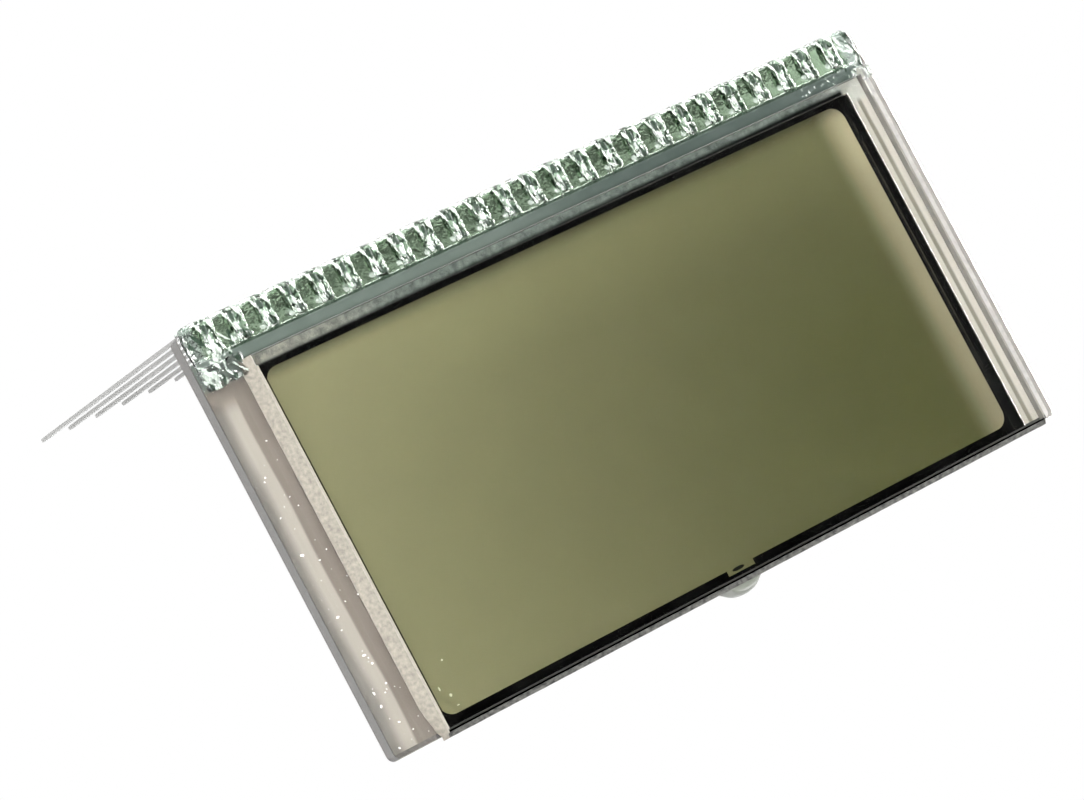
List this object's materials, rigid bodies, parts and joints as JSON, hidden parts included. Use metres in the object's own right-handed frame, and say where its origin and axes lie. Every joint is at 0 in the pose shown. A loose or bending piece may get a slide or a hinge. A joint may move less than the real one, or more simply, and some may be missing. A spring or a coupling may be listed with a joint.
{
  "type": "segment lcd glass with clip pins",
  "caption": "Bare reflective segment display glass: two sealed plates with polarizers and one row of long clip pins bedded in clear adhesive.",
  "frame": {"origin": "middle of the pin row, in the plane of the display's back face", "axes": "+Z out of the front face, +X along the pin row to the right as seen from the front, pins point along -Z"},
  "size_m": [0.0665, 0.0353, 0.0298],
  "materials": {
    "glass": "clear sheet glass with scribed and broken edges",
    "front_film": "neutral grey polarizer film",
    "rear_film": "polarizer film with a silvery reflector on its back",
    "liquid_crystal": "olive reflective field",
    "seal": "epoxy seal, dark between crossed films",
    "transfer": "silver-filled conductive epoxy",
    "pin": "tin-plated bronze strip",
    "adhesive": "green-tinted clear cured adhesive",
    "end_seal": "cloudy cured adhesive"
  },
  "bodies": {
    "root": {"end_seal": "end_seal", "front_glass": "glass", "front_polarizer": "front_film", "liquid_crystal": "liquid_crystal", "pin_01": "pin", "pin_02": "pin", "pin_03": "pin", "pin_04": "pin", "pin_05": "pin", "pin_06": "pin", "pin_07": "pin", "pin_08": "pin", "pin_09": "pin", "pin_10": "pin", "pin_11": "pin", "pin_12": "pin", "pin_13": "pin", "pin_14": "pin", "pin_15": "pin", "pin_16": "pin", "pin_17": "pin", "pin_18": "pin", "pin_19": "pin", "pin_20": "pin", "pin_21": "pin", "pin_22": "pin", "pin_23": "pin", "pin_24": "pin", "pin_25": "pin", "pin_adhesive": "adhesive", "rear_glass": "glass", "rear_polarizer": "rear_film", "seal_ring": "seal", "transfer_dot_lower": "transfer", "transfer_dot_upper": "transfer"}
  },
  "joints": []
}
